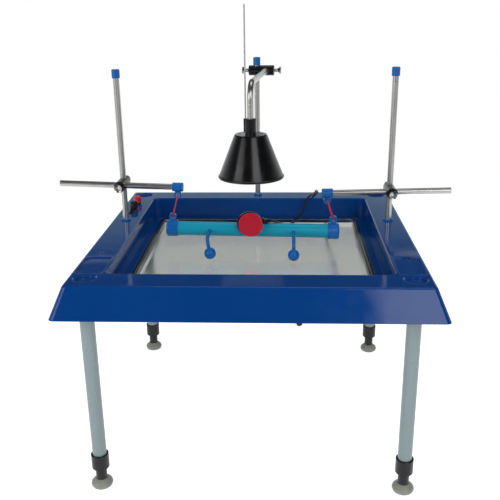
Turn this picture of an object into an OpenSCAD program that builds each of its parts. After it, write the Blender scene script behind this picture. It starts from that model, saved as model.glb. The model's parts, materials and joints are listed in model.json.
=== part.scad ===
// Ripple tank on four legs: a moulded casing with a clear wave tray, two uprights that carry a
// wave beam on rubber bands, and a mast with a hooded lamp above the tray.
// Millimetres. Origin: middle of the tank on the floor, +X to the right, +Y to the rear, +Z up.

/* [Casing] */
// Side of the square rim
rim_w = 600; // [560:5:640]
// Height of the rim above the floor
rim_z = 400; // [380:5:440]
// Width of the flat rim round the well
rim_band = 58.5; // [56:0.5:60]
// Height of the sloping apron
apron_h = 52; // [48:1:58]
// How far the apron flares out on each side
apron_flare = 20; // [14:1:26]
// Thickness of the moulding
wall = 4; // [3:0.5:5]
// Depth from the rim to the ledge that holds the tray
ledge_drop = 46; // [44:1:47]
// Depth from the rim to the tray's flat floor
tray_drop = 58; // [54:1:60]

/* [Legs] */
// Distance of each leg from the middle, in X and in Y
leg_at = 270; // [266:1:272]
// Outside diameter of a leg tube
leg_d = 25; // [22:1:28]
// Diameter of a levelling foot
foot_d = 39; // [34:1:44]

/* [Uprights and mast] */
// Diameter of every steel rod
rod_d = 12; // [10:1:14]
// Distance of the uprights from the middle
upright_x = 271; // [268:1:274]
// Distance of the uprights behind the middle
upright_y = 70; // [60:1:80]
// Height of the uprights above the rim
upright_h = 302; // [290:1:310]
// Distance of the lamp mast behind the middle
mast_y = 276; // [272:1:278]

/* [Bosses and cross rods] */
// Height of the left boss above the rim
left_boss_h = 79; // [76:1:90]
// Height of the right boss above the rim
right_boss_h = 65; // [62:1:80]
// Diameter of a boss
boss_d = 22; // [20:1:24]
// Length of a boss
boss_l = 56; // [52:1:60]
// Droop of the left cross rod, in degrees
left_droop = 2; // [0:0.1:2]
// Droop of the right cross rod, in degrees
right_droop = 1.2; // [0:0.1:2]

/* [Wave beam] */
// Length of the beam over its end caps
beam_l = 352; // [340:1:356]
// Outside diameter of the beam tube
beam_d = 28.6; // [27:0.1:29.5]
// Diameter of the red eccentric disc
disc_d = 49.5; // [44:0.5:52]
// Distance of each dipper from the middle between them
dipper_x = 85; // [70:1:95]
// Diameter of a dipper ball
ball_d = 23; // [18:1:24]

/* [Lamp] */
// Height of the lamp boss above the rim
lamp_boss_h = 283; // [260:1:284]
// Reach of the lamp in front of the mast
lamp_reach = 275; // [240:1:280]
// Turn of the lamp arm to the left, in degrees
lamp_turn = 4.9; // [0:0.1:6]
// Diameter of the shade's mouth
shade_d = 126; // [110:1:128]
// Diameter of the shade's top
shade_top_d = 63; // [56:1:70]
// Height of the shade
shade_h = 83; // [72:1:84]

/* [Motor lead] */
// Diameter of the lead
lead_d = 5; // [4.5:0.1:5.2]
// Turns in each of the coil's two layers
coil_turns = 2.5; // [1.5:1:2.5]

/* [Hidden] */
$fn = 48;
hull_fn = 32;
slice_t = 0.05;

// casing
half = rim_w / 2;
base_half = half + apron_flare;
edge_r = 5;
base_corner_r = 10;
rim_corner_r = 9;
well_half = half - rim_band;
ledge_z = rim_z - ledge_drop;
ledge_half = 217.5;
ledge_t = 5;
plate_z = rim_z - wall;
pad_step = 2;
pad_rear = -160;
dimple_r = 17;
dimple_lip = 3.5;
dimple_depth = 6;
dimple_front = -260;
// tray
seal_t = 1;
tray_t = 4;
tray_z = rim_z - tray_drop;
tray_rim_half = 222.5;
tray_top_half = 212.5;
tray_floor_half = 209;
tray_top_z = ledge_z + seal_t + 2.5;
// legs
cup_low = 39;
cup_high = 68;
neck_low = 17.5;
neck_r = 10;
stem_r = 5;
socket_r = 17;
socket_top = plate_z - dimple_depth;
bolt_z = 366;
// rods and bosses
run = 0.05;
cap_h = 17;
cap_r = 8;
rod_r = rod_d / 2;
hole_off = 10.5;
bush_flange_r = 9.8;
boss_y = upright_y - hole_off;
cross_y = boss_y - hole_off;
left_z = rim_z + left_boss_h;
right_z = rim_z + right_boss_h;
left_out = 124;
left_in = 126;
right_out = 117;
right_in = 138;
fitting_l = 22;
fitting_r = 9;
eye_r = 7.6;
eye_hole_r = 3.8;
eye_t = 5;
eye_gap = 5.2;
hook_drop = 15.5;
lug_rise = 25;
screw_r = 3;
// wave beam
beam_x = -6.3;
beam_z = 385.6;
beam_tilt = 1;
beam_cap_l = 23;
beam_cap_r = 16.6;
beam_eye_x = 163.5;
motor_x = -5.2;
disc_off = 2.2;
motor_up = 18;
can_r = 12;
collar_r = 13.8;
disc_front = 29;
disc_t = 2.5;
flange_r = 25.5;
peg_r = 3.5;
dipper_mid = -1.8;
dipper_front = 71;
dipper_drop = 29;
dipper_bend = 14;
clamp_x = 24;
// lamp
mast_x = -3;
lamp_z = rim_z + lamp_boss_h;
mast_top = lamp_z + boss_d / 2 + 0.5 + cap_h;
arm_bend = 28;
socket_z = 619;
shade_z = 507;
bulb_z = 548;
focus_top = 822;
guide_off = 9.5;
holder_r = 7;
// terminals and switch
term_x = -271;
red_y = 195;
black_y = 152;
switch_x = -271.5;
switch_y = 129;

// ---- shapes that several parts use ----

module rounded_slice(w, r, z) {
    for (x = [-1, 1], y = [-1, 1])
        translate([x * (w - r), y * (w - r), z]) cylinder(r = r, h = slice_t, $fn = hull_fn);
}

module rounded_plate(w, r, z, h) {
    translate([-w, -w + r, z]) cube([2 * w, 2 * (w - r), h]);
    translate([-w + r, -w, z]) cube([2 * (w - r), 2 * w, h]);
    for (x = [-1, 1], y = [-1, 1])
        translate([x * (w - r), y * (w - r), z]) cylinder(r = r, h = h);
}

module at_legs() {
    for (x = [-1, 1], y = [-1, 1]) translate([x * leg_at, y * leg_at, 0]) children();
}

module at_uprights() {
    for (x = [-1, 1]) translate([x * upright_x, upright_y, 0]) children();
}

module rod_cap(z) {
    translate([0, 0, z]) difference() {
        rotate_extrude() polygon([[0, 0], [cap_r - 0.4, 0], [cap_r, 0.8], [cap_r, cap_h - 2],
            [cap_r - 0.6, cap_h - 0.6], [cap_r - 2, cap_h], [0, cap_h]]);
        translate([0, 0, -0.1]) cylinder(r = rod_r + run, h = cap_h - 3);
    }
}

// A boss lies along X: an upright's hole at -hole_off, the other rod's hole at +hole_off.
module boss(turn) {
    difference() {
        rotate([0, 90, 0]) rotate_extrude() polygon([[0, -boss_l / 2], [boss_d / 2 - 1, -boss_l / 2],
            [boss_d / 2, -boss_l / 2 + 1], [boss_d / 2, boss_l / 2 - 1],
            [boss_d / 2 - 1, boss_l / 2], [0, boss_l / 2]]);
        translate([-hole_off, 0, 0]) cylinder(r = rod_r + run, h = 2 * boss_d, center = true);
        translate([hole_off, 0, 0]) rotate([turn, 0, 0])
            cylinder(r = rod_r + run, h = 2 * boss_d, center = true);
        for (s = [-1, 1]) translate([s * (hole_off + boss_l / 2), 0, 0]) rotate([0, 90, 0])
            cylinder(r = screw_r + run, h = boss_l, center = true);
    }
}

// A thumb screw lies along +X from the end of its boss, with its shank inside the boss.
module thumb_screw() {
    shank = boss_l / 2 - hole_off - rod_r - 0.3;
    rotate([0, 90, 0]) rotate_extrude() polygon([[0, -shank], [screw_r, -shank], [screw_r, 1.5],
        [4.2, 2], [3.6, 6.5], [4.4, 8.5], [6.2, 10.8], [8, 12.6], [8.1, 14.2], [7.3, 15],
        [5.6, 14.2], [4.2, 12.8], [0, 12.2]]);
}

// An open eye in the XZ plane on a short stem towards +Z, its gap towards -Z and turned by swing.
module open_eye(swing, stem) {
    difference() {
        union() {
            rotate([90, 0, 0]) cylinder(r = eye_r, h = eye_t, center = true);
            translate([-eye_r + 1.5, -eye_t / 2, 0]) cube([2 * eye_r - 3, eye_t, stem]);
        }
        rotate([90, 0, 0]) cylinder(r = eye_hole_r, h = 2 * eye_t, center = true);
        rotate([0, swing, 0])
            translate([-eye_gap / 2, -eye_t, -2 * eye_r]) cube([eye_gap, 2 * eye_t, 2 * eye_r]);
    }
}

// ---- casing, tray and legs ----

module casing_outside() {
    hull() {
        rounded_slice(base_half, base_corner_r, rim_z - apron_h);
        for (a = [0 : 15 : 90])
            rounded_slice(half - edge_r + edge_r * cos(a), rim_corner_r - edge_r + edge_r * cos(a),
                rim_z - edge_r + edge_r * sin(a) - slice_t);
    }
}

module casing_inside() {
    hull() {
        rounded_slice(base_half - wall + 0.8, 7, rim_z - apron_h - 2);
        rounded_slice(half - wall, 5, rim_z - edge_r - 2);
        rounded_slice(half - edge_r - 2, 4, plate_z);
    }
}

// A shallow sunken pad on each side rim, behind the front corner.
module corner_pads() {
    inner = well_half + 5;
    outer = half - 7;
    pad_front = dimple_front + dimple_r + dimple_lip - 1;
    for (s = [-1, 1]) scale([s, 1, 1]) hull() {
        translate([inner + 2, pad_front + 2, rim_z - pad_step]) cylinder(r = 2, h = wall);
        translate([outer - 2, pad_front + 2, rim_z - pad_step]) cylinder(r = 2, h = wall);
        translate([inner + 2, pad_rear - 2, rim_z - pad_step]) cylinder(r = 2, h = wall);
        translate([outer - 12, pad_rear - 12, rim_z - pad_step]) cylinder(r = 12, h = wall);
    }
}

module at_dimples() {
    for (x = [-1, 1], y = [dimple_front, leg_at]) translate([x * leg_at, y, 0]) children();
}

module tank_casing() color("#1b3f94") difference() {
    union() {
        difference() {
            casing_outside();
            casing_inside();
        }
        rounded_plate(well_half + wall, 16, ledge_z - ledge_t, plate_z - ledge_z + ledge_t + 0.5);
        at_dimples() translate([0, 0, socket_top])
            cylinder(r = dimple_r + dimple_lip + 3.5, h = plate_z - socket_top + 1);
        at_uprights() translate([0, 0, plate_z - 8]) cylinder(r = 13, h = 9);
        translate([mast_x, mast_y, plate_z - 8]) cylinder(r = 13, h = 9);
    }
    hull() {
        rounded_slice(well_half - 3, 12, ledge_z);
        rounded_slice(well_half, 14, rim_z - 3);
        rounded_slice(well_half, 14, rim_z + 1);
    }
    hull() {
        rounded_slice(well_half, 14, rim_z - 1.5);
        rounded_slice(well_half + 1.6, 15.6, rim_z + 0.1);
    }
    rounded_plate(ledge_half, 10, ledge_z - 2 * ledge_t, 3 * ledge_t);
    corner_pads();
    at_dimples() {
        translate([0, 0, rim_z - dimple_depth]) cylinder(r = dimple_r, h = 4 * wall);
        translate([0, 0, rim_z - dimple_lip])
            cylinder(r1 = dimple_r, r2 = dimple_r + dimple_lip + 0.1, h = dimple_lip + 0.1);
    }
    at_uprights() translate([0, 0, plate_z - 20]) cylinder(r = 8, h = 40);
    translate([mast_x, mast_y, plate_z - 20]) cylinder(r = 8, h = 40);
    translate([-274, -128, plate_z - 5]) cylinder(r = 3.25, h = 20);
    translate([upright_x, pad_rear + 1, rim_z - 3]) cylinder(r = 7, h = 20);
    for (y = [red_y, black_y]) translate([term_x, y, plate_z - 5]) cylinder(r = 4.1, h = 20);
    translate([switch_x - 5.2, switch_y - 9.7, plate_z - 5]) cube([10.4, 19.4, 20]);
    translate([93, 276, plate_z - 5]) cylinder(r = 2, h = 20);
}

module clear_tray() color("#dfe6e8", 0.35) difference() {
    union() {
        hull() {
            rounded_slice(tray_floor_half + 4, 12, tray_z - tray_t);
            rounded_slice(ledge_half - 1.5, 14, ledge_z - ledge_t - 2);
            rounded_slice(ledge_half - 1.5, 14, ledge_z + seal_t);
        }
        rounded_plate(tray_rim_half, 14, ledge_z + seal_t, tray_top_z - ledge_z - seal_t);
    }
    hull() {
        rounded_slice(tray_floor_half, 10, tray_z);
        rounded_slice(tray_top_half, 12, tray_top_z + 0.1);
    }
}

module tray_seal() color("#2a4d78") difference() {
    rounded_plate(tray_rim_half - 0.5, 14, ledge_z, seal_t);
    rounded_plate(ledge_half + 0.5, 14, ledge_z - 1, 2 * seal_t + 2);
}

module leg_sockets() color("#26282b") at_legs() difference() {
    translate([0, 0, 352]) cylinder(r = socket_r, h = socket_top - 352);
    translate([0, 0, 351]) cylinder(r = leg_d / 2 + run, h = socket_top - 3.8 - 351);
    translate([0, 0, bolt_z]) rotate([90, 0, 0]) cylinder(r = 2.6, h = 60, center = true);
}

module leg_bolts() color("#b9bcc0") at_legs() translate([0, 0, bolt_z]) rotate([90, 0, 0]) {
    cylinder(r = 2.5, h = 2 * socket_r + 5, center = true);
    translate([0, 0, socket_r]) cylinder(r = 4.6, h = 3, $fn = 6);
    translate([0, 0, -socket_r - 3]) cylinder(r = 4.6, h = 3, $fn = 6);
}

module leg(x, y) color("#c3ccce") translate([x * leg_at, y * leg_at, 0]) difference() {
    translate([0, 0, cup_low + 4.2]) cylinder(d = leg_d, h = socket_top - 4 - cup_low - 4.2);
    translate([0, 0, cup_low]) cylinder(r = leg_d / 2 - 1.5, h = rim_z);
    translate([0, 0, bolt_z]) rotate([90, 0, 0]) cylinder(r = 2.6, h = 60, center = true);
}
module leg_front_left() leg(-1, -1);
module leg_front_right() leg(1, -1);
module leg_rear_left() leg(-1, 1);
module leg_rear_right() leg(1, 1);

module leg_cups() color("#101114") at_legs() difference() {
    rotate_extrude() polygon([[0, neck_low], [neck_r - 0.5, neck_low], [neck_r, neck_low + 0.5],
        [neck_r, cup_low - 1.5], [neck_r + 1.5, cup_low], [14.6, cup_low], [15.7, cup_low + 1.4],
        [15.7, cup_high - 0.8], [15, cup_high], [0, cup_high]]);
    translate([0, 0, cup_low + 4]) cylinder(r = leg_d / 2 + run, h = 60);
    translate([0, 0, 1]) cylinder(r = stem_r + run, h = 60);
}

module foot(x, y) color("#b4b5a6") translate([x * leg_at, y * leg_at, 0]) rotate_extrude()
    polygon([[0, 0], [foot_d / 2 - 5, 0], [foot_d / 2 - 1.6, 2.4], [foot_d / 2, 6.5],
        [foot_d / 2 - 0.8, 10], [foot_d / 2 - 4, 13.6], [12.5, 16], [11, neck_low - 0.4],
        [stem_r, neck_low - 0.4], [stem_r, cup_low + 1.5], [0, cup_low + 1.5]]);
module foot_front_left() foot(-1, -1);
module foot_front_right() foot(1, -1);
module foot_rear_left() foot(-1, 1);
module foot_rear_right() foot(1, 1);

// ---- uprights, mast and bosses ----

module bush() difference() {
    rotate_extrude() polygon([[0, 372], [7.9, 372], [7.9, rim_z], [bush_flange_r, rim_z],
        [bush_flange_r, rim_z + 2.4], [bush_flange_r - 0.8, rim_z + 3.2], [0, rim_z + 3.2]]);
    translate([0, 0, 360]) cylinder(r = rod_r + run, h = 60);
}

module rod_bushes() color("#0a63ad") {
    at_uprights() bush();
    translate([mast_x, mast_y, 0]) bush();
}

module bush_nut() translate([0, 0, plate_z - 8 - 6]) difference() {
    cylinder(r = 13.5, h = 6, $fn = 6);
    translate([0, 0, -1]) cylinder(r = 7.95, h = 10);
}

module bush_nuts() color("#b9bcc0") {
    at_uprights() bush_nut();
    translate([mast_x, mast_y, 0]) bush_nut();
}

module upright(x) color("#aeb2b5") translate([x * upright_x, upright_y, 376])
    cylinder(r = rod_r, h = rim_z + upright_h - 376);
module upright_left() upright(-1);
module upright_right() upright(1);

module upright_caps() color("#0a63ad") at_uprights() rod_cap(rim_z + upright_h - cap_h + 3.2);

// The side bosses lie along Y, so the shared boss is turned with its upright hole to the rear.
module side_boss(x, z, droop) color("#141518") translate([x * upright_x, boss_y, z])
    rotate([0, 0, -90]) boss(90 + droop);
module boss_left() side_boss(-1, left_z, -left_droop);
module boss_right() side_boss(1, right_z, right_droop);

module on_left_rod() translate([-upright_x, cross_y, left_z]) rotate([0, left_droop, 0]) children();
module on_right_rod() translate([upright_x, cross_y, right_z]) rotate([0, -right_droop, 0]) children();

module cross_rod_left() color("#aeb2b5") on_left_rod()
    translate([-left_out, 0, 0]) rotate([0, 90, 0]) cylinder(r = rod_r, h = left_out + left_in - 4);
module cross_rod_right() color("#aeb2b5") on_right_rod()
    translate([-right_in + 4, 0, 0]) rotate([0, 90, 0])
        cylinder(r = rod_r, h = right_out + right_in - 4);

// A moulded end fitting, closed towards +X, with an open eye under it.
module rod_hook(swing) {
    difference() {
        union() {
            rotate([0, 90, 0]) rotate_extrude() polygon([[0, -fitting_l], [fitting_r - 0.6, -fitting_l],
                [fitting_r, -fitting_l + 0.6], [fitting_r, -1.2], [fitting_r - 1.2, 0], [0, 0]]);
            translate([-fitting_l / 2, 0, -hook_drop]) open_eye(swing, hook_drop - fitting_r + 2);
        }
        translate([-fitting_l - 1, 0, 0]) rotate([0, 90, 0]) cylinder(r = rod_r + run, h = fitting_l - 2.9);
    }
}
module rod_hook_left() color("#0a63ad") on_left_rod() translate([left_in, 0, 0]) rod_hook(13);
module rod_hook_right() color("#0a63ad") on_right_rod() translate([-right_in, 0, 0])
    mirror([1, 0, 0]) rod_hook(17.5);

module screw_at(x, y, z, turn) color("#c4c6c8") translate([x, y, z]) rotate([0, 0, turn]) thumb_screw();
module thumb_screw_left_front() screw_at(-upright_x, boss_y - boss_l / 2, left_z, -90);
module thumb_screw_left_rear() screw_at(-upright_x, boss_y + boss_l / 2, left_z, 90);
module thumb_screw_right_front() screw_at(upright_x, boss_y - boss_l / 2, right_z, -90);
module thumb_screw_right_rear() screw_at(upright_x, boss_y + boss_l / 2, right_z, 90);

// ---- wave beam ----

module on_beam() translate([beam_x, cross_y, beam_z]) rotate([0, beam_tilt, 0]) children();

module beam_tube() color("#0d93b2") on_beam() difference() {
    rotate([0, 90, 0]) cylinder(d = beam_d, h = beam_l - 8, center = true);
    rotate([0, 90, 0]) cylinder(d = beam_d - 4, h = beam_l, center = true);
    translate([motor_x, 0, motor_up]) rotate([90, 0, 0])
        cylinder(r = collar_r + 0.2, h = 60, center = true);
    for (s = [-1, 1]) translate([dipper_mid + s * dipper_x, 0, 0]) rotate([90, 0, 0])
        cylinder(r = peg_r + run, h = 30);
    translate([clamp_x, 0, 0]) cylinder(r = 2.1, h = 30);
}

module beam_cap(swing) {
    difference() {
        union() {
            rotate([0, 90, 0]) rotate_extrude() polygon([[0, 0], [beam_cap_r - 0.6, 0], [beam_cap_r, 0.6],
                [beam_cap_r, beam_cap_l - 4], [beam_cap_r - 1.2, beam_cap_l - 1.2],
                [beam_cap_r - 4, beam_cap_l], [0, beam_cap_l]]);
            translate([beam_eye_x - beam_l / 2 + beam_cap_l, 0, lug_rise]) rotate([0, 180, 0])
                open_eye(-swing, lug_rise - beam_cap_r + 2);
        }
        translate([-1, 0, 0]) rotate([0, 90, 0]) cylinder(d = beam_d + 2 * run, h = beam_cap_l - 2.9);
    }
}
module beam_cap_right() color("#0a63ad") on_beam() translate([beam_l / 2 - beam_cap_l, 0, 0])
    beam_cap(19);
module beam_cap_left() color("#0a63ad") on_beam() mirror([1, 0, 0])
    translate([beam_l / 2 - beam_cap_l, 0, 0]) beam_cap(14);

module on_motor() on_beam() translate([motor_x, 0, motor_up]) rotate([90, 0, 0]) children();

module motor_saddle() color("#141518") on_motor() difference() {
    union() {
        translate([0, 0, 18]) cylinder(r = flange_r, h = 3);
        translate([0, 0, 2]) cylinder(r = collar_r, h = 17);
    }
    translate([0, 0, 1]) cylinder(r = can_r + run, h = 17);
    cylinder(r = 4 + run, h = 60);
}

module motor_can() color("#c9ccce") on_motor() difference() {
    union() {
        rotate_extrude() polygon([[0, -18], [3, -18], [3, -16], [can_r - 1, -16], [can_r, -15],
            [can_r, 17], [can_r - 0.6, 17.8], [4, 17.8], [4, 21.5], [0, 21.5]]);
        for (s = [-1, 1]) translate([s * 6 - 1.5, -0.4, -21]) cube([3, 0.8, 5.5]);
    }
    translate([0, 0, 4]) cylinder(r = 1.5 + run, h = 30);
}

// The disc sits off centre on its spindle, which runs in the motor.
module eccentric_disc() color("#be0f2d") on_motor() {
    rotate_extrude() polygon([[0, 5], [1.5, 5], [1.5, 22.3], [6, 22.3], [6, disc_front - 1], [0, disc_front - 1]]);
    translate([disc_off, 0.3, 0]) rotate_extrude()
        polygon([[0, disc_front - disc_t], [disc_d / 2 - 0.4, disc_front - disc_t],
            [disc_d / 2, disc_front - disc_t + 0.4], [disc_d / 2, disc_front - 0.4],
            [disc_d / 2 - 0.4, disc_front], [0, disc_front]]);
}

module lead_clamp() color("#141518") on_beam() translate([clamp_x, 0, 0]) difference() {
    union() {
        translate([-5, -5, beam_d / 2]) cube([12, 10, 8.5]);
        translate([0, 0, beam_d / 2 - 5]) cylinder(r = 2, h = 6);
    }
    translate([-6, 0, beam_d / 2 + 4.6]) rotate([0, 90, 0]) cylinder(r = 1.5, h = 6);
}

module dipper(s, turn) color("#0a63ad") on_beam() translate([dipper_mid + s * dipper_x, 0, 0])
    rotate([0, turn, 0]) {
    turn_y = -dipper_front + dipper_bend;
    rotate([90, 0, 0]) translate([0, 0, 8]) cylinder(r = peg_r, h = -turn_y - 8);
    translate([0, turn_y, -dipper_bend]) rotate([0, 0, -90]) rotate([90, 0, 0])
        rotate_extrude(angle = 90) translate([dipper_bend, 0]) circle(r = peg_r);
    translate([0, -dipper_front, -dipper_drop]) cylinder(r = peg_r, h = dipper_drop - dipper_bend);
    translate([0, -dipper_front, -dipper_drop]) sphere(d = ball_d);
}
module dipper_left() dipper(-1, -12);
module dipper_right() dipper(1, -1);

// A rubber band: a flat strip with a knot in each eye.
module band(a, b) {
    d = b - a;
    long = norm(d);
    translate(a) rotate([0, atan2(d[0], d[2]), 0]) {
        sphere(d = 6.2, $fn = 24);
        translate([-1.7, -1.1, 0]) cube([3.4, 2.2, long]);
        translate([0, 0, long]) sphere(d = 6.2, $fn = 24);
    }
}

function turned(p, angle) = [p[0] * cos(angle) + p[2] * sin(angle), p[1],
    -p[0] * sin(angle) + p[2] * cos(angle)];
left_eye = [-upright_x, cross_y, left_z]
    + turned([left_in - fitting_l / 2, 0, -hook_drop], left_droop);
right_eye = [upright_x, cross_y, right_z]
    + turned([-right_in + fitting_l / 2, 0, -hook_drop], -right_droop);
beam_mid = [beam_x, cross_y, beam_z];
left_cap_eye = beam_mid + turned([-beam_eye_x, 0, lug_rise], beam_tilt);
right_cap_eye = beam_mid + turned([beam_eye_x, 0, lug_rise], beam_tilt);
module band_left() color("#cd2846") band(left_cap_eye, left_eye);
module band_right() color("#cd2846") band(right_cap_eye, right_eye);

// ---- lamp ----

module on_mast() translate([mast_x, mast_y, 0]) rotate([0, 0, -lamp_turn]) children();

module lamp_mast() color("#aeb2b5") on_mast() translate([0, 0, 376])
    cylinder(r = rod_r, h = mast_top - 3.2 - 376);
module mast_cap() color("#0a63ad") on_mast() rod_cap(mast_top - cap_h);

module lamp_boss() color("#141518") on_mast() translate([hole_off, 0, lamp_z]) boss(90);
module thumb_screw_lamp_left() color("#c4c6c8") on_mast()
    translate([hole_off - boss_l / 2, 0, lamp_z]) rotate([0, 0, 180]) thumb_screw();
module thumb_screw_lamp_right() color("#c4c6c8") on_mast()
    translate([hole_off + boss_l / 2, 0, lamp_z]) thumb_screw();

module on_arm() on_mast() translate([2 * hole_off, 0, 0]) children();

module lamp_arm() color("#c4c6c8") on_arm() difference() {
    union() {
        translate([0, 16, lamp_z]) rotate([90, 0, 0]) cylinder(r = rod_r, h = lamp_reach - arm_bend + 16);
        translate([0, -lamp_reach + arm_bend, lamp_z - arm_bend]) rotate([0, 0, -90]) rotate([90, 0, 0])
            rotate_extrude(angle = 90) translate([arm_bend, 0]) circle(r = rod_r);
        translate([0, -lamp_reach, socket_z - 14]) cylinder(r = rod_r, h = lamp_z - arm_bend - socket_z + 14);
    }
    translate([0, -lamp_reach, socket_z - 20])
        cylinder(r = rod_r - 1.5, h = lamp_z - arm_bend - socket_z + 20);
}

module on_lamp() on_arm() translate([0, -lamp_reach, 0]) children();

module lamp_socket() color("#101114") on_lamp() difference() {
    union() {
        rotate_extrude() polygon([[0, 572], [16, 572], [16, shade_z + shade_h - 3],
            [10.6, shade_z + shade_h - 3], [10.6, socket_z - 1], [9.8, socket_z], [0, socket_z]]);
        translate([-guide_off, 0, shade_z + shade_h + 4])
            cylinder(r = 4, h = socket_z - shade_z - shade_h - 4);
    }
    translate([0, 0, socket_z - 14.2]) cylinder(r = rod_r + run, h = 30);
    translate([0, 0, 560]) cylinder(r = holder_r + 0.3, h = 40);
    translate([-guide_off, 0, 560]) cylinder(r = 1.5 + run, h = 80);
}

module lamp_shade() color("#101114") on_lamp() difference() {
    rotate_extrude() polygon([
        [shade_top_d / 2 - 2, shade_z + shade_h], [shade_top_d / 2, shade_z + shade_h - 2],
        [shade_d / 2 - 1.6, shade_z + 5], [shade_d / 2, shade_z + 4], [shade_d / 2 + 0.4, shade_z + 1.6],
        [shade_d / 2 - 0.8, shade_z], [shade_d / 2 - 2.2, shade_z + 0.6], [shade_d / 2 - 3, shade_z + 4],
        [shade_top_d / 2 - 1.8, shade_z + shade_h - 3], [10.7, shade_z + shade_h - 3],
        [10.7, shade_z + shade_h]]);
    for (a = [0 : 30 : 330]) rotate([0, 0, a + 15])
        translate([22, 0, shade_z + shade_h - 5]) cylinder(r = 2.2, h = 10);
    translate([-guide_off, 0, shade_z + shade_h - 10]) cylinder(r = 2.6, h = 20);
}

module bulb_holder() color("#d8d6cc") on_lamp() difference() {
    union() {
        translate([0, 0, bulb_z + 12]) cylinder(r = holder_r, h = 24);
        translate([-guide_off, -2, bulb_z + 12]) cube([guide_off, 4, 5]);
    }
    translate([0, 0, bulb_z + 11]) cylinder(r = 5.1, h = 15);
    translate([-guide_off, 0, bulb_z]) cylinder(r = 1.5 + run, h = 30);
}

module bulb() color("#f2efe2", 0.6) on_lamp() rotate_extrude() polygon([[0, bulb_z - 12], [5, bulb_z - 10.6],
    [8.6, bulb_z - 6.5], [9.6, bulb_z - 2], [8.8, bulb_z + 3], [5.6, bulb_z + 9], [5, bulb_z + 12],
    [5, bulb_z + 25], [0, bulb_z + 25]]);

module focus_rod() color("#8d8f8c") on_lamp() translate([-guide_off, 0, bulb_z + 12])
    cylinder(r = 1.5, h = focus_top - bulb_z - 12);

// ---- terminals and switch ----

module terminal_posts() color("#101114") for (y = [red_y, black_y]) translate([term_x, y, 0]) {
    translate([0, 0, rim_z]) cylinder(r = 6.5, h = 2.5);
    translate([0, 0, 384]) cylinder(r = 4, h = 16);
    translate([0, 0, rim_z + 2]) cylinder(r = 3, h = 4);
    translate([0, 0, plate_z - 4]) cylinder(r = 7, h = 4, $fn = 6);
}

module terminal_cap(y) translate([term_x, y, rim_z + 2.8]) difference() {
    rotate_extrude() polygon([[0, 0], [7.6, 0], [8.4, 1], [8.4, 12], [7.4, 13.6], [5, 15], [0, 15]]);
    translate([0, 0, -1]) cylinder(r = 3 + run, h = 4.6);
    translate([0, 0, 5]) cylinder(r = 2, h = 20);
    for (a = [0 : 30 : 330]) rotate([0, 0, a]) translate([8.9, 0, 1]) cylinder(r = 1, h = 20);
}
module terminal_cap_red() color("#c01427") terminal_cap(red_y);
module terminal_cap_black() color("#101114") terminal_cap(black_y);

module switch_body() color("#101114") translate([switch_x, switch_y, 0]) difference() {
    union() {
        translate([-7.2, -12.5, rim_z]) cube([14.4, 25, 2]);
        translate([-5, -9.3, rim_z - 18]) cube([10, 18.6, 19]);
    }
    translate([-3.6, -8, rim_z - 10]) cube([7.2, 16, 30]);
    translate([-5.1, 0, rim_z - 1]) rotate([0, 90, 0]) cylinder(r = 1.2 + run, h = 10.2);
}

module switch_rocker() color("#1c1d20") translate([switch_x, switch_y, rim_z - 1]) rotate([8, 0, 0]) {
    translate([-3.2, 0, 0]) rotate([90, 0, 90]) linear_extrude(6.4)
        polygon([[-6, -4.5], [6, -4.5], [7, 0.5], [7, 5.2], [0, 4], [-7, 5.2], [-7, 0.5]]);
    translate([-4.8, 0, 0]) rotate([0, 90, 0]) cylinder(r = 1.2, h = 9.6);
}

// ---- motor lead ----

// From the clamp on the beam to the rear rim, and from there down behind the casing to the floor.
upper_points = [
    [25.3, 49, 403.9], [31, 49.3, 403.8], [37, 54, 401.6], [45, 64, 396], [55, 78, 388], [66, 100, 380],
    [75, 130, 374], [85, 165, 371], [95, 200, 374], [105.5, 225, 388], [112, 236, 401.3],
    [118.5, 248, 405.3], [125, 266, 403.5]];
lower_points = [
    [125, 266, 403.5], [130.4, 281, 403.2], [133.6, 295, 403.3], [136.2, 301.2, 401.1],
    [138.6, 304.2, 394.5], [143, 309.5, 381.5],
    [150, 320, 358], [155, 327, 338], [159, 331, 315], [161, 333, 290], [164, 335, 262],
    [171, 337, 238], [181, 340, 208], [189, 344, 178], [193, 350, 140], [192, 358, 98],
    [186, 374, 58], [178, 398, 26], [169, 428, 8], [162, 452, 2.5], [157, 470, 2.5]];
lead_r = lead_d / 2;
steps = 3;
coil_pitch = lead_d + 0.5;
coil_rise = lead_d + 0.6;
coil_in = 22;
coil_out = coil_in + coil_pitch * coil_turns;
loop_rings = 24;

function spline(a, b, c, d, t) = 0.5 * (2 * b + (c - a) * t + (2 * a - 5 * b + 4 * c - d) * t * t
    + (3 * b - a - 3 * c + d) * t * t * t);
function smooth(p) = concat([for (i = [0 : len(p) - 2], k = [0 : steps - 1])
    spline(p[max(i - 1, 0)], p[i], p[i + 1], p[min(i + 2, len(p) - 1)], k / steps)], [p[len(p) - 1]]);
function unit(v) = v / norm(v);
function headings(p) = [for (i = [0 : len(p) - 1])
    unit(p[min(i + 1, len(p) - 1)] - p[max(i - 1, 0)])];
function carried(h, u, i = 0) = i >= len(h) ? [] :
    let (v = unit(u - (u * h[i]) * h[i])) concat([v], carried(h, v, i + 1));
function ring(p, h, u, r, sides) = let (w = cross(h, u))
    [for (k = [0 : sides - 1]) p + r * (cos(360 * k / sides) * u + sin(360 * k / sides) * w)];

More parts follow.
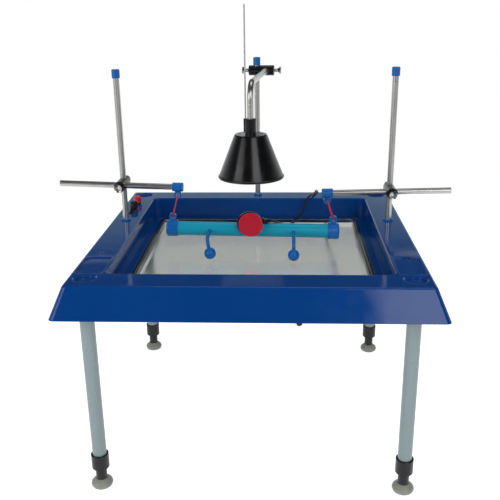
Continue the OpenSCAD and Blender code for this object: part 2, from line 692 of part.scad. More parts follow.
module tube(p, r, sides, up) {
    h = headings(p);
    u = carried(h, up);
    n = len(p);
    points = [for (i = [0 : n - 1]) each ring(p[i], h[i], u[i], r, sides)];
    walls = [for (i = [0 : n - 2], k = [0 : sides - 1]) let (a = i * sides + k,
        b = i * sides + (k + 1) % sides) each [[a, a + sides, b], [b, a + sides, b + sides]]];
    starts = [for (k = [1 : sides - 2]) [0, k, k + 1]];
    ends = [for (k = [1 : sides - 2]) [(n - 1) * sides, (n - 1) * sides + k + 1, (n - 1) * sides + k]];
    polyhedron(points = points, faces = concat(walls, starts, ends));
}

module lead_upper() color("#131316") tube(smooth(upper_points), lead_r, 8, [0, 0, 1]);
module lead_lower() color("#131316") tube(smooth(lower_points), lead_r, 8, [0, 0, 1]);

// The coil winds in on the floor, climbs one layer in half a turn, and winds out again.
lead_end = lower_points[len(lower_points) - 1];
lead_heading = unit(lead_end - lower_points[len(lower_points) - 2]);
coil_start = atan2(lead_heading[1], lead_heading[0]) - 90;
coil_mid = [lead_end[0] - coil_out * cos(coil_start), lead_end[1] - coil_out * sin(coil_start)];
function coil_r(t) = t <= coil_turns + 0.25 ? coil_out - coil_pitch * t
    : coil_out - coil_pitch * (2 * coil_turns + 0.5 - t);
function coil_z(t) = lead_r + coil_rise * min(max((t - coil_turns) * 2, 0), 1);
function coil_point(t) = [coil_mid[0] + coil_r(t) * cos(coil_start + 360 * t),
    coil_mid[1] + coil_r(t) * sin(coil_start + 360 * t), coil_z(t)];
coil_all = 2 * coil_turns + 0.5;
coil_rings = round(coil_all * loop_rings);
coil_path = concat([lead_end], [for (i = [1 : coil_rings]) coil_point(coil_all * i / coil_rings)]);
coil_last = coil_path[len(coil_path) - 1];
coil_exit = unit([-sin(coil_start + 360 * coil_all), cos(coil_start + 360 * coil_all), 0]);
coil_line = concat(coil_path, [coil_last + coil_exit * lead_d]);
function gap_at(i) = min([for (j = [0 : len(coil_line) - 1]) if (abs(i - j) > loop_rings / 2)
    norm(coil_line[i] - coil_line[j])]) - lead_d;
echo(coil_least_gap = min([for (i = [0 : len(coil_line) - 1]) gap_at(i)]));

module lead_coil() color("#131316") tube(coil_line, lead_r, 6, [0, 0, 1]);

plug_r = coil_rise + lead_r - 0.1;
module lead_plug() color("#131316")
    translate(coil_line[len(coil_line) - 1]) rotate([0, 0, coil_start + 360 * coil_all + 90])
    rotate([0, 90, 0]) {
        rotate_extrude() polygon([[0, 0], [3.6, 0], [4.6, 14], [plug_r, 16], [plug_r, 44],
            [plug_r - 1, 45], [0, 45]]);
        for (s = [-1, 1]) translate([0, s * 3.6, 44]) cylinder(r = 1.4, h = 11);
    }

tank_casing();
clear_tray();
tray_seal();
leg_sockets();
leg_bolts();
leg_front_left();
leg_front_right();
leg_rear_left();
leg_rear_right();
leg_cups();
foot_front_left();
foot_front_right();
foot_rear_left();
foot_rear_right();
rod_bushes();
bush_nuts();
upright_left();
upright_right();
upright_caps();
boss_left();
boss_right();
cross_rod_left();
cross_rod_right();
rod_hook_left();
rod_hook_right();
band_left();
band_right();
thumb_screw_left_front();
thumb_screw_left_rear();
thumb_screw_right_front();
thumb_screw_right_rear();
beam_tube();
beam_cap_left();
beam_cap_right();
motor_saddle();
motor_can();
eccentric_disc();
lead_clamp();
dipper_left();
dipper_right();
lamp_mast();
mast_cap();
lamp_boss();
thumb_screw_lamp_left();
thumb_screw_lamp_right();
lamp_arm();
lamp_socket();
lamp_shade();
bulb_holder();
bulb();
focus_rod();
terminal_posts();
terminal_cap_red();
terminal_cap_black();
switch_body();
switch_rocker();
lead_upper();
lead_lower();
lead_coil();
lead_plug();
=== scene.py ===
import json
import math
import bpy
import bmesh
from mathutils import Matrix, Vector


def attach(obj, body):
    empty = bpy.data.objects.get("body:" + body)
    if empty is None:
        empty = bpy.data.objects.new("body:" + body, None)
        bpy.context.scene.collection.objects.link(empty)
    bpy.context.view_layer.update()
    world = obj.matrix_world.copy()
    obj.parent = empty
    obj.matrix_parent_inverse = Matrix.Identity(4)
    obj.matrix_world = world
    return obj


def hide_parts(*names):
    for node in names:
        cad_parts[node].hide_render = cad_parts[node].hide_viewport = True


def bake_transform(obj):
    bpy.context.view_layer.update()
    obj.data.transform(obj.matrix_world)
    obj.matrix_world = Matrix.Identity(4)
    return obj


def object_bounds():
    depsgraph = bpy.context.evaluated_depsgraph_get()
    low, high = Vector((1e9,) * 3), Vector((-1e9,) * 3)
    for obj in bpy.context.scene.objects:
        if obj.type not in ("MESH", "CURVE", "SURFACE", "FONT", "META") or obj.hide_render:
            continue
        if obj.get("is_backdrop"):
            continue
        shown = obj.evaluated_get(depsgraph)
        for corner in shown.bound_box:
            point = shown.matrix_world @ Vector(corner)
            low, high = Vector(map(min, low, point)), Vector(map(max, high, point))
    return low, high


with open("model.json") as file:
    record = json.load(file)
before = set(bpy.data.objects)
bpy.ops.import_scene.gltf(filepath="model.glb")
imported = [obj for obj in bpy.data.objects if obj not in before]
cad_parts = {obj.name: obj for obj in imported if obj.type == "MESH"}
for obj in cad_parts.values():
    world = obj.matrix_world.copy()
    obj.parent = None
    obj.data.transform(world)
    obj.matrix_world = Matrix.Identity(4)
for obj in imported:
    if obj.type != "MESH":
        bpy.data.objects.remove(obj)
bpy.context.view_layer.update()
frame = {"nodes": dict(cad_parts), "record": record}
nodes = frame["nodes"]
scene = bpy.context.scene
scene.view_settings.view_transform = "Standard"

# ---- camera: the photograph's own place and angle ----

yaw, pitch, roll = math.radians(2.819), math.radians(19.205), math.radians(-0.749)
ahead = Vector((-math.sin(yaw) * math.cos(pitch), math.cos(yaw) * math.cos(pitch), -math.sin(pitch)))
right = Vector((math.cos(yaw), math.sin(yaw), 0))
up = right.cross(ahead)
right_r = math.cos(roll) * right + math.sin(roll) * up
up_r = -math.sin(roll) * right + math.cos(roll) * up
camera = bpy.data.objects.new("camera", bpy.data.cameras.new("camera"))
scene.collection.objects.link(camera)
camera.data.sensor_width = 36
camera.data.lens = 703.36 * 36 / 500
camera.data.clip_end = 60
camera.matrix_world = Matrix.Translation((0.0554, -1.3239, 0.8198)) @ Matrix(
    (right_r, up_r, -ahead)).transposed().to_4x4()
scene.camera = camera


# ---- meshes ----

def put(name, verts, faces, smooth=30):
    mesh = bpy.data.meshes.new(name)
    mesh.from_pydata([tuple(v) for v in verts], [], [tuple(f) for f in faces])
    mesh.update()
    obj = bpy.data.objects.new(name, mesh)
    scene.collection.objects.link(obj)
    bm = bmesh.new()
    bm.from_mesh(mesh)
    bmesh.ops.recalc_face_normals(bm, faces=bm.faces)
    bm.to_mesh(mesh)
    bm.free()
    mesh.shade_smooth()
    if smooth:
        mesh.set_sharp_from_angle(angle=math.radians(smooth))
    return obj


def spline(points, steps):
    p = [Vector(x) for x in points]
    out = []
    for i in range(len(p) - 1):
        a, b, c, d = p[max(i - 1, 0)], p[i], p[i + 1], p[min(i + 2, len(p) - 1)]
        for k in range(steps):
            t = k / steps
            out.append(0.5 * (2 * b + (c - a) * t + (2 * a - 5 * b + 4 * c - d) * t * t
                              + (3 * b - a - 3 * c + d) * t ** 3))
    return out + [p[-1]]


def sweep(path, section, closed=False, up=(0, 0, 1), twist=0.0, scale=None):
    """Rings of the section along the path, carried without twisting, and the faces between them."""
    n = len(path)
    verts, faces, carried = [], [], Vector(up)
    for i in range(n):
        a = path[(i - 1) % n] if closed else path[max(i - 1, 0)]
        b = path[(i + 1) % n] if closed else path[min(i + 1, n - 1)]
        h = (b - a).normalized()
        carried = (carried - carried.dot(h) * h).normalized()
        side = h.cross(carried)
        s = scale(i / (n - 1)) if scale else 1.0
        turn = twist * i / (n - 1)
        for x, y in section:
            u = x * math.cos(turn) - y * math.sin(turn)
            v = x * math.sin(turn) + y * math.cos(turn)
            verts.append(path[i] + (side * u + carried * v) * s)
    k = len(section)
    for i in range(n if closed else n - 1):
        for j in range(k):
            a, b = i * k + j, i * k + (j + 1) % k
            c, d = ((i + 1) % n) * k + (j + 1) % k, ((i + 1) % n) * k + j
            faces.append((a, b, c, d))
    if not closed:
        faces.append(tuple(reversed(range(k))))
        faces.append(tuple(range((n - 1) * k, n * k)))
    return verts, faces


def circle(r, sides):
    return [(r * math.cos(2 * math.pi * i / sides), r * math.sin(2 * math.pi * i / sides))
            for i in range(sides)]


def mm(points):
    return [tuple(c / 1000 for c in p) for p in points]


def length(path):
    return sum((path[i + 1] - path[i]).length for i in range(len(path) - 1))


# ---- the motor lead, on the route of its solids ----

LEAD_R = 0.0025
upper = spline(mm([
    (25.3, 49, 403.9), (31, 49.3, 403.8), (37, 54, 401.6), (45, 64, 396), (55, 78, 388), (66, 100, 380),
    (75, 130, 374), (85, 165, 371), (95, 200, 374), (105.5, 225, 388), (112, 236, 401.3),
    (118.5, 248, 405.3), (125, 266, 403.5)]), 8)
lower = spline(mm([
    (125, 266, 403.5), (130.4, 281, 403.2), (133.6, 295, 403.3), (136.2, 301.2, 401.1),
    (138.6, 304.2, 394.5), (143, 309.5, 381.5),
    (150, 320, 358), (155, 327, 338), (159, 331, 315), (161, 333, 290), (164, 335, 262),
    (171, 337, 238), (181, 340, 208), (189, 344, 178), (193, 350, 140), (192, 358, 98),
    (186, 374, 58), (178, 398, 26), (169, 428, 8), (162, 452, 2.5), (157, 470, 2.5)]), 6)

pitch_mm, rise, turns = 5.5, 5.6, 2.5
outer = 22 + pitch_mm * turns
end = Vector((157, 470, 2.5))
heading = (end - Vector((162, 452, 2.5))).normalized()
start = math.atan2(heading.y, heading.x) - math.pi / 2
middle = Vector((end.x - outer * math.cos(start), end.y - outer * math.sin(start), 0))


def coil(t):
    r = outer - pitch_mm * t if t <= turns + 0.25 else outer - pitch_mm * (2 * turns + 0.5 - t)
    z = 2.5 + rise * min(max((t - turns) * 2, 0), 1)
    a = start + 2 * math.pi * t
    return Vector((middle.x + r * math.cos(a), middle.y + r * math.sin(a), z)) / 1000


total = 2 * turns + 0.5
rings = round(total * 48)
wound = [coil(total * i / rings) for i in range(1, rings + 1)]
away = start + 2 * math.pi * total
wound.append(wound[-1] + Vector((-math.sin(away), math.cos(away), 0)) * 0.005)
cuts = [0]
for want in (0.040, 0.110):
    cuts.append(next(i for i in range(len(upper)) if length(upper[:i + 1]) >= want))
cuts.append(len(upper) - 1)
lead_bodies = [("beam", "left_rod"), ("left_rod", "left_boss"), ("left_boss", "base")]
lead_parts = []
for i, (a, b) in enumerate(lead_bodies):
    path = upper[cuts[i]:cuts[i + 1] + 1]
    obj = put("lead_upper_%d" % (i + 1), *sweep(path, circle(LEAD_R, 16)), smooth=60)
    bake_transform(obj)
    lead_parts.append(obj)
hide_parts("lead_upper")
run = lower + wound
lead_lower = put("lead_run", *sweep(run, circle(LEAD_R, 16)), smooth=60)
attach(lead_lower, "base")
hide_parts("lead_lower", "lead_coil")
lead_parts.append(lead_lower)

# A tie round the coil's turns, and a tapered relief where the lead leaves its clamp.
tie_at = start + 2.4
out_dir = Vector((math.cos(tie_at), math.sin(tie_at), 0))
TIE_HALF_WIDTH, TIE_HALF_HEIGHT, TIE_OUT = 10.6, 5.75, 29.0
tie_centre = Vector((middle.x, middle.y, TIE_HALF_HEIGHT))
ring = []
for i in range(32):
    a = 2 * math.pi * i / 32
    u = math.copysign(abs(math.cos(a)) ** 0.55, math.cos(a)) * TIE_HALF_WIDTH
    v = math.copysign(abs(math.sin(a)) ** 0.55, math.sin(a)) * TIE_HALF_HEIGHT
    ring.append((tie_centre + out_dir * (TIE_OUT + u) + Vector((0, 0, v))) / 1000)
strap = [(0.0018 * y, 0.0003 * x) for x, y in circle(1, 10)]
tie = put("coil_tie", *sweep(ring, strap, closed=True, up=out_dir), smooth=40)
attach(tie, "base")

relief_path = [Vector((0.0250 + 0.0009 * i, 0.049 + 0.00012 * max(0, i - 6), 0.4039 - 0.00001 * i))
               for i in range(11)]
relief = put("lead_relief", *sweep(relief_path, circle(0.0040, 20), scale=lambda t:
             (1 - 0.28 * t) * (1 - 0.07 * (round(t * 10) % 2))), smooth=25)
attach(relief, "beam")


# Solder tab and short wire from the motor to the lead clamp.
tab_path = [Vector((0.0128 + 0.0003 * i, 0.049 - 0.00005 * i, 0.4035 + 0.00062 * i)) for i in range(14)]
tab_section = [(0.0014 * x, 0.0003 * y) for x, y in circle(1, 12)]
tab = put("solder_tab", *sweep(tab_path, tab_section, up=(0, 1, 0.2),
                               scale=lambda t: 1.0 if t < 0.6 else 1.25 - 0.9 * (t - 0.6)), smooth=40)
wire_path = spline([(0.0140, 0.0482, 0.4060), (0.0150, 0.0465, 0.4085), (0.0175, 0.0462, 0.4078),
                    (0.0192, 0.0475, 0.4045)], 6)
wire = put("tab_wire", *sweep(wire_path, circle(0.0008, 10)), smooth=60)
for obj, sl in ((tab, "zinc"), (wire, "black_moulding")):
    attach(obj, "beam")


# ---- rubber bands: a flat strip with a knot in each eye ----

eyes = {"left": (Vector((-169.34, 49, 413.45)), Vector((-156.61, 49, 459.5))),
        "right": (Vector((157.61, 49, 407.74)), Vector((144.35, 49, 446.84)))}


def knot(centre, size):
    path = []
    for i in range(60):
        t = 2 * math.pi * i / 60
        p = Vector((math.sin(t) + 2 * math.sin(2 * t), -math.sin(3 * t) * 1.3,
                    math.cos(t) - 2 * math.cos(2 * t)))
        path.append(centre + p * size)
    return path


BAND_HALF_WIDTH = {"left": 0.0012, "right": 0.0016}
BAND_HALF_THICK = 0.0009
KNOT_SIZE, KNOT_STRAND_R = 0.00035, 0.0007
BAND_WAVE = 0.0004


for side, (low, high) in eyes.items():
    low, high = low / 1000, high / 1000
    axis = high - low
    strip = [low + axis * (i / 40) + Vector((0, BAND_WAVE * math.sin(i / 40 * math.pi * 2), 0))
             for i in range(41)]
    half = BAND_HALF_WIDTH[side]
    section = [(half * math.copysign(abs(math.cos(a)) ** 0.5, math.cos(a)),
                BAND_HALF_THICK * math.copysign(abs(math.sin(a)) ** 0.5, math.sin(a)))
               for a in [2 * math.pi * k / 16 for k in range(16)]]
    verts, faces = sweep(strip, section, up=(0, 1, 0), twist=0.5)
    for centre in (low, high):
        more_v, more_f = sweep(knot(centre, KNOT_SIZE), circle(KNOT_STRAND_R, 10), closed=True,
                               up=(0, 1, 0.01))
        base = len(verts)
        verts += more_v
        faces += [tuple(base + k for k in f) for f in more_f]
    band = put("rubber_band_" + side, verts, faces, smooth=50)
    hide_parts("band_" + side)
    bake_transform(band)


# ---- materials ----

def new_material(name):
    m = bpy.data.materials.new(name)
    m.use_nodes = True
    return m, m.node_tree.nodes, m.node_tree.links, m.node_tree.nodes["Principled BSDF"]


def finish(name, colour, rough, metallic=0.0, vary=0.12, grain=600.0, grain_depth=0.00004, wave=0.0,
           wave_size=9.0, rough_vary=0.06, wear=None, wear_size=0.0012, coat=0.0, stretch=(1, 1, 1),
           ior=1.5, spread=7.0, edge_round=0.0004):
    """One procedural finish: colour drift, roughness drift, fine grain, slow waves and worn edges."""
    m, n, l, b = new_material(name)
    where = n.new("ShaderNodeTexCoord")
    mapping = n.new("ShaderNodeMapping")
    mapping.inputs["Scale"].default_value = stretch
    l.new(where.outputs["Object"], mapping.inputs["Vector"])

    def noise(scale, detail=3.0, rough_=0.55):
        x = n.new("ShaderNodeTexNoise")
        x.inputs["Scale"].default_value = scale
        x.inputs["Detail"].default_value = detail
        x.inputs["Roughness"].default_value = rough_
        l.new(mapping.outputs["Vector"], x.inputs["Vector"])
        return x
    drift = noise(spread)
    fine = noise(grain, 2.0)
    mix = n.new("ShaderNodeMix")
    mix.data_type = "RGBA"
    mix.inputs[6].default_value = (*[c * (1 - vary) for c in colour], 1)
    mix.inputs[7].default_value = (*[min(1, c * (1 + vary)) for c in colour], 1)
    l.new(drift.outputs["Fac"], mix.inputs[0])
    colour_out = mix.outputs[2]
    rough_node = n.new("ShaderNodeMapRange")
    rough_node.inputs["From Min"].default_value = 0.3
    rough_node.inputs["From Max"].default_value = 0.7
    rough_node.inputs["To Min"].default_value = max(0.02, rough - rough_vary)
    rough_node.inputs["To Max"].default_value = min(1, rough + rough_vary)
    l.new(noise(spread * 6).outputs["Fac"], rough_node.inputs["Value"])
    rough_out = rough_node.outputs["Result"]
    bump = n.new("ShaderNodeBump")
    bump.inputs["Strength"].default_value = 1.0
    bump.inputs["Distance"].default_value = grain_depth
    l.new(fine.outputs["Fac"], bump.inputs["Height"])
    if edge_round:
        bevel = n.new("ShaderNodeBevel")
        bevel.samples = 4
        bevel.inputs["Radius"].default_value = edge_round
        l.new(bevel.outputs["Normal"], bump.inputs["Normal"])
    normal = bump.outputs["Normal"]
    if wave:
        slow = n.new("ShaderNodeBump")
        slow.inputs["Strength"].default_value = 1.0
        slow.inputs["Distance"].default_value = wave
        l.new(noise(wave_size, 1.0).outputs["Fac"], slow.inputs["Height"])
        l.new(normal, slow.inputs["Normal"])
        normal = slow.outputs["Normal"]
    l.new(normal, b.inputs["Normal"])
    if wear and not edge_round:
        spots = n.new("ShaderNodeMapRange")
        spots.inputs["From Min"].default_value = 0.58
        spots.inputs["From Max"].default_value = 0.74
        l.new(noise(55, 4.0, 0.7).outputs["Fac"], spots.inputs["Value"])
        worn = n.new("ShaderNodeMix")
        worn.data_type = "RGBA"
        worn.inputs[7].default_value = (*wear, 1)
        l.new(spots.outputs["Result"], worn.inputs[0])
        l.new(colour_out, worn.inputs[6])
        colour_out = worn.outputs[2]
    elif wear:
        edge = n.new("ShaderNodeBevel")
        edge.samples = 4
        edge.inputs["Radius"].default_value = wear_size
        geometry = n.new("ShaderNodeNewGeometry")
        dot = n.new("ShaderNodeVectorMath")
        dot.operation = "DOT_PRODUCT"
        l.new(edge.outputs["Normal"], dot.inputs[0])
        l.new(geometry.outputs["Normal"], dot.inputs[1])
        mask = n.new("ShaderNodeMapRange")
        mask.inputs["From Min"].default_value = 0.985
        mask.inputs["From Max"].default_value = 0.86
        mask.inputs["To Min"].default_value = 0
        mask.inputs["To Max"].default_value = 1
        l.new(dot.outputs["Value"], mask.inputs["Value"])
        patchy = n.new("ShaderNodeMath")
        patchy.operation = "MULTIPLY"
        l.new(mask.outputs["Result"], patchy.inputs[0])
        l.new(noise(90, 4.0, 0.7).outputs["Fac"], patchy.inputs[1])
        worn = n.new("ShaderNodeMix")
        worn.data_type = "RGBA"
        worn.inputs[7].default_value = (*wear, 1)
        l.new(patchy.outputs["Value"], worn.inputs[0])
        l.new(colour_out, worn.inputs[6])
        colour_out = worn.outputs[2]
    l.new(colour_out, b.inputs["Base Color"])
    l.new(rough_out, b.inputs["Roughness"])
    b.inputs["Metallic"].default_value = metallic
    b.inputs["IOR"].default_value = ior
    if coat:
        b.inputs["Coat Weight"].default_value = coat
        b.inputs["Coat Roughness"].default_value = 0.06
    return m


def lift(c, k=1.6):
    return tuple(min(1, x * k + 0.03) for x in c)


BLUE = (0.002, 0.045, 0.215)
FIT = (0.002, 0.118, 0.420)
BLACK = (0.006, 0.006, 0.008)
looks = {
    "blue_moulding": finish("blue_moulding", BLUE, 0.10, vary=0.10, grain=900, grain_depth=0.000004,
                            wave=0.0003, wave_size=7, wear=lift(BLUE, 1.5), wear_size=0.002,
                            rough_vary=0.04, edge_round=0.001, ior=1.40),
    "rubber_seal": finish("rubber_seal", (0.02, 0.065, 0.20), 0.5, grain=500),
    "black_moulding": finish("black_moulding", BLACK, 0.20, vary=0.2, grain=900, grain_depth=0.00001,
                             wear=(0.05, 0.05, 0.055), ior=1.38),
    "zinc": finish("zinc", (0.62, 0.62, 0.60), 0.32, metallic=1, grain=800, wear=(0.8, 0.8, 0.8)),
    "leg_paint": finish("leg_paint", (0.235, 0.300, 0.312), 0.30, vary=0.06, grain=1100,
                        grain_depth=0.00001, metallic=0.25, wear=(0.65, 0.68, 0.7), stretch=(1, 1, 0.2)),
    "foot_moulding": finish("foot_moulding", (0.27, 0.285, 0.24), 0.38, vary=0.08, grain=700,
                            grain_depth=0.00003, wear=(0.42, 0.43, 0.38)),
    "blue_fitting": finish("blue_fitting", FIT, 0.24, vary=0.1, grain=900, grain_depth=0.00001,
                           wear=lift(FIT, 1.5), ior=1.4),
    "rod_steel": finish("rod_steel", (0.42, 0.425, 0.41), 0.33, metallic=1, vary=0.06, grain=220,
                        grain_depth=0.0000006, wear=(0.40, 0.385, 0.36), rough_vary=0.03, edge_round=0),
    "black_metal": finish("black_metal", BLACK, 0.24, vary=0.2, grain=700, grain_depth=0.00002,
                          wear=(0.08, 0.08, 0.085), ior=1.4),
    "chrome": finish("chrome", (0.48, 0.48, 0.46), 0.27, metallic=1, vary=0.03, grain=500,
                     grain_depth=0.0000006, rough_vary=0.03, edge_round=0, wear=(0.46, 0.45, 0.43)),
    "teal_tube": finish("teal_tube", (0.002, 0.31, 0.46), 0.30, vary=0.10, grain=700,
                        grain_depth=0.00001, stretch=(0.15, 1, 1), wear=(0.03, 0.40, 0.54), ior=1.36),
    "red_disc": finish("red_disc", (0.52, 0.004, 0.028), 0.35, vary=0.08, grain=700,
                       wear=(0.62, 0.05, 0.07)),
    "red_cap": finish("red_cap", (0.50, 0.008, 0.018), 0.25, vary=0.1, wear=(0.62, 0.06, 0.06),
                      coat=0.2),
    "red_rubber": finish("red_rubber", (0.60, 0.022, 0.060), 0.45, vary=0.15, grain=1500,
                         grain_depth=0.00002),
    "ceramic": finish("ceramic", (0.72, 0.70, 0.62), 0.5, vary=0.06),
    "black_lead": finish("black_lead", (0.010, 0.010, 0.011), 0.38, vary=0.2, grain=1200,
                         grain_depth=0.00002),
}


def clear(name, tint, rough, shadow=0.85, ior=1.49):
    """Clear plastic or glass that lets light through to what lies under it."""
    m, n, l, b = new_material(name)
    where = n.new("ShaderNodeTexCoord")
    speck = n.new("ShaderNodeTexNoise")
    speck.inputs["Scale"].default_value = 14
    speck.inputs["Detail"].default_value = 4
    l.new(where.outputs["Object"], speck.inputs["Vector"])
    rough_node = n.new("ShaderNodeMapRange")
    rough_node.inputs["From Min"].default_value = 0.35
    rough_node.inputs["From Max"].default_value = 0.75
    rough_node.inputs["To Min"].default_value = rough
    rough_node.inputs["To Max"].default_value = rough + 0.05
    l.new(speck.outputs["Fac"], rough_node.inputs["Value"])
    l.new(rough_node.outputs["Result"], b.inputs["Roughness"])
    bump = n.new("ShaderNodeBump")
    bump.inputs["Distance"].default_value = 0.0003
    bump.inputs["Strength"].default_value = 0.4
    l.new(speck.outputs["Fac"], bump.inputs["Height"])
    l.new(bump.outputs["Normal"], b.inputs["Normal"])
    b.inputs["Base Color"].default_value = (*tint, 1)
    b.inputs["Transmission Weight"].default_value = 1
    b.inputs["IOR"].default_value = ior
    through = n.new("ShaderNodeBsdfTransparent")
    through.inputs["Color"].default_value = (shadow, shadow, shadow, 1)
    path = n.new("ShaderNodeLightPath")
    mix = n.new("ShaderNodeMixShader")
    l.new(path.outputs["Is Shadow Ray"], mix.inputs["Fac"])
    l.new(b.outputs["BSDF"], mix.inputs[1])
    l.new(through.outputs["BSDF"], mix.inputs[2])
    l.new(mix.outputs["Shader"], n["Material Output"].inputs["Surface"])
    return m


looks["clear_acrylic"] = clear("clear_acrylic", (0.355, 0.37, 0.355), 0.09)
looks["lamp_glass"] = clear("lamp_glass", (0.97, 0.96, 0.92), 0.25)

# The shade is black outside and white inside: the inside is where the cone's radius is smaller.
lamp_x, lamp_y = -0.005566, 0.000211
MOUTH_Z, MOUTH_R, CONE_NARROWS, CONE_HEIGHT = 0.512, 0.0614, 0.0299, 0.076
shade = finish("shade_metal", (0.004, 0.004, 0.005), 0.22, vary=0.2, grain=500, grain_depth=0.000004,
               wear=(0.05, 0.05, 0.055), wave=0.0002, wave_size=20, ior=1.4)
n, l = shade.node_tree.nodes, shade.node_tree.links
b = n["Principled BSDF"]
where = n.new("ShaderNodeTexCoord")
split = n.new("ShaderNodeSeparateXYZ")
l.new(where.outputs["Object"], split.inputs[0])


def maths(op, a, c):
    x = n.new("ShaderNodeMath")
    x.operation = op
    for i, v in enumerate((a, c)):
        if v is None:
            continue
        if isinstance(v, (int, float)):
            x.inputs[i].default_value = v
        else:
            l.new(v, x.inputs[i])
    return x.outputs[0]


dx = maths("SUBTRACT", split.outputs["X"], lamp_x)
dy = maths("SUBTRACT", split.outputs["Y"], lamp_y)
radius = maths("SQRT", maths("ADD", maths("MULTIPLY", dx, dx), maths("MULTIPLY", dy, dy)), None)
above_mouth = maths("SUBTRACT", split.outputs["Z"], MOUTH_Z)
wall = maths("ADD", maths("MULTIPLY", above_mouth, -CONE_NARROWS / CONE_HEIGHT), MOUTH_R)
inside = maths("MULTIPLY", maths("LESS_THAN", radius, maths("SUBTRACT", wall, 0.0009)),
               maths("LESS_THAN", split.outputs["Z"], 0.5872))
white = n.new("ShaderNodeMix")
white.data_type = "RGBA"
l.new(inside, white.inputs[0])
old = b.inputs["Base Color"].links[0].from_socket
l.new(old, white.inputs[6])
white.inputs[7].default_value = (0.82, 0.82, 0.79, 1)
l.new(white.outputs[2], b.inputs["Base Color"])
looks["shade_metal"] = shade

slot_of = {s["node"]: s["material_slot"] for s in frame["record"]["subparts"]}


def dress(obj, material):
    obj.data.materials.clear()
    obj.data.materials.append(material)


for name, obj in nodes.items():
    dress(obj, looks[slot_of[name]])
    obj.data.shade_smooth()
    obj.data.set_sharp_from_angle(angle=math.radians(28))
for obj in lead_parts:
    dress(obj, looks["black_lead"])
for obj in (tie, relief, wire):
    dress(obj, looks["black_moulding"])
dress(tab, looks["zinc"])
for side in ("left", "right"):
    dress(bpy.data.objects["rubber_band_" + side], looks["red_rubber"])

# ---- floor, background and light ----

floor = put("floor", [(-2.4, -2.2, 0), (2.4, -2.2, 0), (2.4, 1.8, 0), (-2.4, 1.8, 0)],
            [(0, 1, 2, 3)], smooth=0)
floor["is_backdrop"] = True
m, n, l, b = new_material("floor")
b.inputs["Base Color"].default_value = (0.86, 0.86, 0.86, 1)
b.inputs["Roughness"].default_value = 0.9
b.inputs["Specular IOR Level"].default_value = 0.1
path = n.new("ShaderNodeLightPath")
seen = n.new("ShaderNodeMath")
seen.operation = "MAXIMUM"
l.new(path.outputs["Is Camera Ray"], seen.inputs[0])
l.new(path.outputs["Is Transmission Ray"], seen.inputs[1])
seen2 = n.new("ShaderNodeMath")
seen2.operation = "MAXIMUM"
l.new(seen.outputs[0], seen2.inputs[0])
l.new(path.outputs["Is Glossy Ray"], seen2.inputs[1])
glow = n.new("ShaderNodeEmission")
glow.inputs["Strength"].default_value = 0.78
dark = n.new("ShaderNodeEmission")
dark.inputs["Strength"].default_value = 0
pick = n.new("ShaderNodeMixShader")
l.new(seen2.outputs[0], pick.inputs["Fac"])
l.new(dark.outputs[0], pick.inputs[1])
l.new(glow.outputs[0], pick.inputs[2])
add = n.new("ShaderNodeAddShader")
l.new(b.outputs["BSDF"], add.inputs[0])
l.new(pick.outputs[0], add.inputs[1])
l.new(add.outputs[0], n["Material Output"].inputs["Surface"])
dress(floor, m)

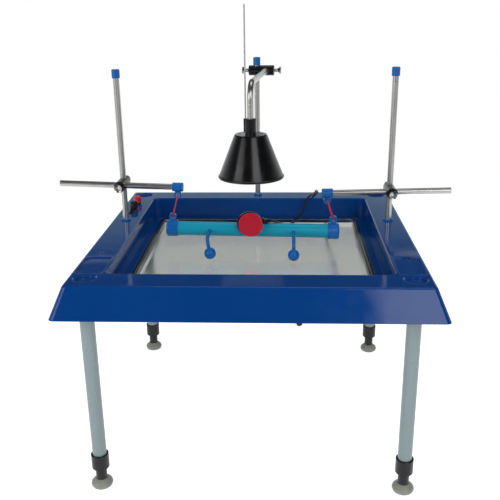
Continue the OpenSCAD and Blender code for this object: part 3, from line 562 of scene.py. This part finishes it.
world = bpy.data.worlds.new("world")
scene.world = world
world.use_nodes = True
n, l = world.node_tree.nodes, world.node_tree.links
back = n["Background"]
back.inputs["Color"].default_value = (1, 1, 1, 1)
back.inputs["Strength"].default_value = 0.42
bright = n.new("ShaderNodeBackground")
bright.inputs["Color"].default_value = (1, 1, 1, 1)
bright.inputs["Strength"].default_value = 1.0
room = n.new("ShaderNodeBackground")
room.inputs["Strength"].default_value = 1.0
direction = n.new("ShaderNodeTexCoord")
height = n.new("ShaderNodeSeparateXYZ")
l.new(direction.outputs["Generated"], height.inputs[0])
ramp = n.new("ShaderNodeValToRGB")
for place, level in ((0.24, 0.38), (0.29, 0.32), (0.335, 0.03)):
    ramp.color_ramp.elements.new(place).color = (0.85 * level, 1.15 * level, 1.1 * level, 1)
ramp.color_ramp.elements[0].position = 0.19
ramp.color_ramp.elements[0].color = (1, 1, 1, 1)
ramp.color_ramp.elements[-1].position = 0.9
ramp.color_ramp.elements[-1].color = (0.12, 0.12, 0.12, 1)
l.new(height.outputs["Z"], ramp.inputs["Fac"])
side = n.new("ShaderNodeMapRange")
side.inputs["From Min"].default_value = -0.9
side.inputs["From Max"].default_value = 0.5
side.inputs["To Min"].default_value = 0.22
side.inputs["To Max"].default_value = 1.0
l.new(height.outputs["Y"], side.inputs["Value"])
l.new(side.outputs["Result"], room.inputs["Strength"])
l.new(ramp.outputs["Color"], room.inputs["Color"])
path = n.new("ShaderNodeLightPath")
seen = n.new("ShaderNodeMath")
seen.operation = "MAXIMUM"
l.new(path.outputs["Is Camera Ray"], seen.inputs[0])
l.new(path.outputs["Is Transmission Ray"], seen.inputs[1])
mirror = n.new("ShaderNodeMixShader")
l.new(path.outputs["Is Glossy Ray"], mirror.inputs["Fac"])
l.new(back.outputs[0], mirror.inputs[1])
l.new(room.outputs[0], mirror.inputs[2])
pick = n.new("ShaderNodeMixShader")
l.new(seen.outputs[0], pick.inputs["Fac"])
l.new(mirror.outputs[0], pick.inputs[1])
l.new(bright.outputs[0], pick.inputs[2])
l.new(pick.outputs[0], n["World Output"].inputs["Surface"])


def lamp(name, place, aim, size, power):
    data = bpy.data.lights.new(name, "AREA")
    data.shape = "RECTANGLE"
    data.size, data.size_y = size
    data.energy = power
    obj = bpy.data.objects.new(name, data)
    scene.collection.objects.link(obj)
    obj.location = place
    obj.rotation_mode = "QUATERNION"
    obj.rotation_quaternion = (Vector(aim) - Vector(place)).to_track_quat("-Z", "Y")
    return obj


lamp("key", (1.3, -2.8, 1.9), (0, 0, 0.35), (1.6, 2.2), 38)
lamp("fill", (-2.2, -2.0, 1.3), (0, 0, 0.35), (1.6, 1.6), 26)
lamp("top", (0.2, 0.6, 3.0), (0, 0, 0.3), (1.8, 1.2), 9)

# ---- bounds of the shown objects ----

low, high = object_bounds()
